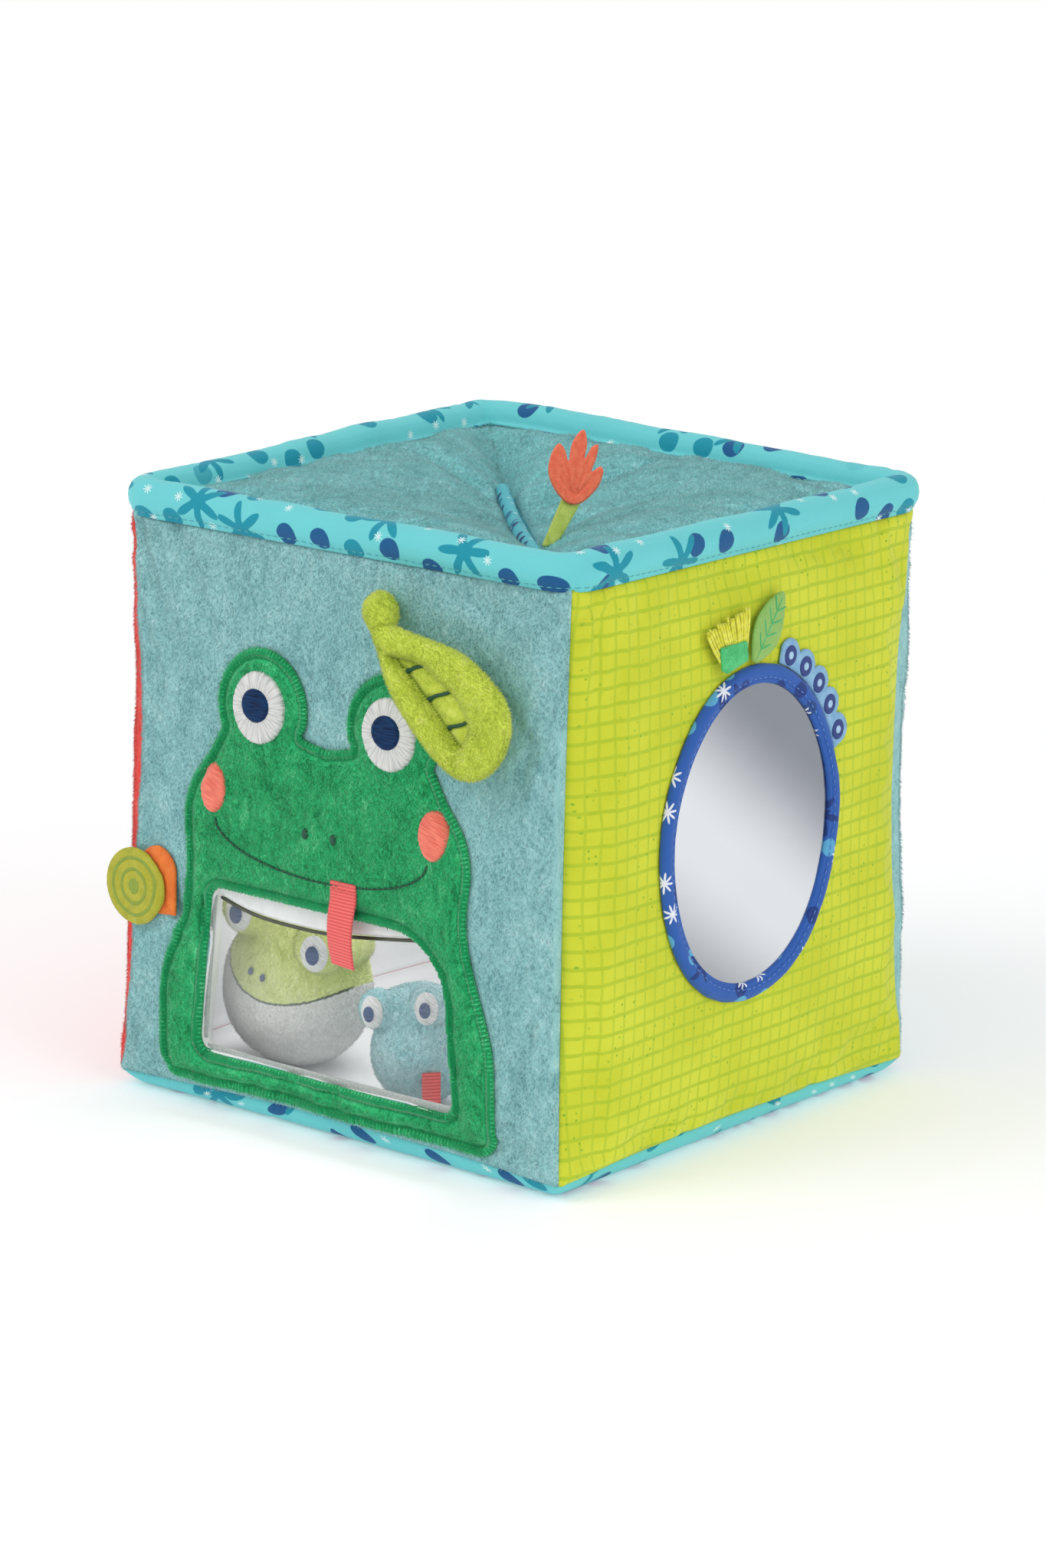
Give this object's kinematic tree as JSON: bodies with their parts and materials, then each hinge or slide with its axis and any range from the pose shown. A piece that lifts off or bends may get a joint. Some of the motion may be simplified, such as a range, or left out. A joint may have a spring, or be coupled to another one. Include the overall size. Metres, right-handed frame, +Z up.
{
  "type": "soft fabric activity block",
  "caption": "Hollow padded cloth block with a printed rim, a slit top, a windowed animal-face panel, a sewn leaf flap, a soft mirror, cloth tags and loose plush toys inside.",
  "frame": {"origin": "middle of the flat underside of the base panel, which stands on the floor", "axes": "+Z up; -Y out of the windowed front panel; +X out of the mirror panel; +Y out of the plain back panel"},
  "size_m": [0.1994, 0.2166, 0.2256],
  "materials": {
    "light_blue_plush": "short plush",
    "lime_check_cotton": "woven check cotton",
    "red_plush": "short plush",
    "aqua_print_cotton": "printed cotton",
    "blue_print_cotton": "printed cotton",
    "green_plush": "short plush",
    "pale_green_plush": "short plush",
    "leaf_plush": "short plush",
    "white_plush": "short plush",
    "lining_cloth": "thin plain cloth",
    "wadding": "foam and fibre padding",
    "white_embroidery": "satin stitch",
    "navy_embroidery": "satin stitch",
    "coral_satin": "satin stitch",
    "coral_ribbon": "ribbed ribbon",
    "coral_tag_cloth": "satin cloth",
    "orange_tag_cloth": "printed cloth",
    "lime_tag_cloth": "printed cloth",
    "green_tag_cloth": "satin cloth",
    "yellow_tag_cloth": "cut fringe",
    "blue_tag_cloth": "printed cloth",
    "clear_film": "clear soft film",
    "mirror_film": "silvered soft film"
  },
  "bodies": {
    "box": {"front_cover": "light_blue_plush", "front_pad": "wadding", "front_lining": "lining_cloth", "right_cover": "lime_check_cotton", "right_pad": "wadding", "right_lining": "lining_cloth", "back_cover": "light_blue_plush", "back_pad": "wadding", "back_lining": "lining_cloth", "left_cover": "red_plush", "left_pad": "wadding", "left_lining": "lining_cloth", "base_cover": "aqua_print_cotton", "base_pad": "wadding", "base_lining": "lining_cloth", "top_cover_left": "light_blue_plush", "top_cover_right": "light_blue_plush", "top_lining_left": "lining_cloth", "top_lining_right": "lining_cloth", "rim_binding": "aqua_print_cotton", "slit_binding_left": "aqua_print_cotton", "slit_binding_right": "aqua_print_cotton", "window_film": "clear_film", "frog_applique": "green_plush", "eye_patch_left": "white_embroidery", "eye_patch_right": "white_embroidery", "pupil_left": "navy_embroidery", "pupil_right": "navy_embroidery", "cheek_left": "coral_satin", "cheek_right": "coral_satin", "nostril_left": "navy_embroidery", "nostril_right": "navy_embroidery", "mouth_stitching": "navy_embroidery", "leaf_stalk": "leaf_plush", "mirror_backing": "lining_cloth", "mirror_film": "mirror_film", "mirror_ring": "blue_print_cotton", "scallop_tag": "blue_tag_cloth", "back_patch": "green_plush"},
    "leaf": {"leaf_flap": "leaf_plush"},
    "tongue": {"tongue_ribbon": "coral_ribbon"},
    "side_tag": {"disc_tag": "lime_tag_cloth", "disc_tag_back": "orange_tag_cloth"},
    "mirror_leaf": {"leaf_tag": "green_tag_cloth"},
    "fringe": {"fringe_tag": "yellow_tag_cloth", "fringe_ribbon": "green_tag_cloth"},
    "crest": {"crest_stem": "lime_tag_cloth", "crest_tag": "coral_tag_cloth"},
    "green_toy": {"green_toy_head": "pale_green_plush", "green_toy_belly": "white_plush", "green_toy_eye_left": "white_embroidery", "green_toy_eye_right": "white_embroidery"},
    "blue_toy": {"blue_toy_head": "light_blue_plush", "blue_toy_eye_left": "white_embroidery", "blue_toy_eye_right": "white_embroidery", "blue_toy_ribbon": "coral_ribbon"}
  },
  "joints": [
    {"name": "leaf_lift", "type": "hinge", "parent": "box", "child": "leaf", "pos_m": [0.02872, -0.10587, 0.17121], "axis": [-0.682, 0, -0.7314], "range_deg": [0, 120]},
    {"name": "tongue_lift", "type": "hinge", "parent": "box", "child": "tongue", "pos_m": [0.00873, -0.09866, 0.08809], "axis": [-1, 0, 0], "range_deg": [0, 120]},
    {"name": "disc_tag_fold", "type": "hinge", "parent": "box", "child": "side_tag", "pos_m": [-0.06561, -0.09577, 0.07055], "axis": [0, 0, 1], "range_deg": [0, 90]},
    {"name": "leaf_tag_fold", "type": "hinge", "parent": "box", "child": "mirror_leaf", "pos_m": [0.09603, -0.0021, 0.15831], "axis": [0, 0.788, -0.6157], "range_deg": [0, 80]},
    {"name": "fringe_fold", "type": "hinge", "parent": "box", "child": "fringe", "pos_m": [0.09421, -0.0141, 0.15838], "axis": [0, 0.9744, 0.225], "range_deg": [0, 35]},
    {"name": "crest_bend", "type": "hinge", "parent": "box", "child": "crest", "pos_m": [0.02673, -0.01835, 0.18961], "axis": [0.766, 0.6428, 0], "range_deg": [-40, 55]},
    {"name": "green_toy_lift", "type": "slide", "parent": "box", "child": "green_toy", "axis": [0, 0.1483, 0.9889], "range_m": [0, 0.09]},
    {"name": "blue_toy_lift", "type": "slide", "parent": "box", "child": "blue_toy", "axis": [0, 0.1483, 0.9889], "range_m": [0, 0.09]}
  ]
}
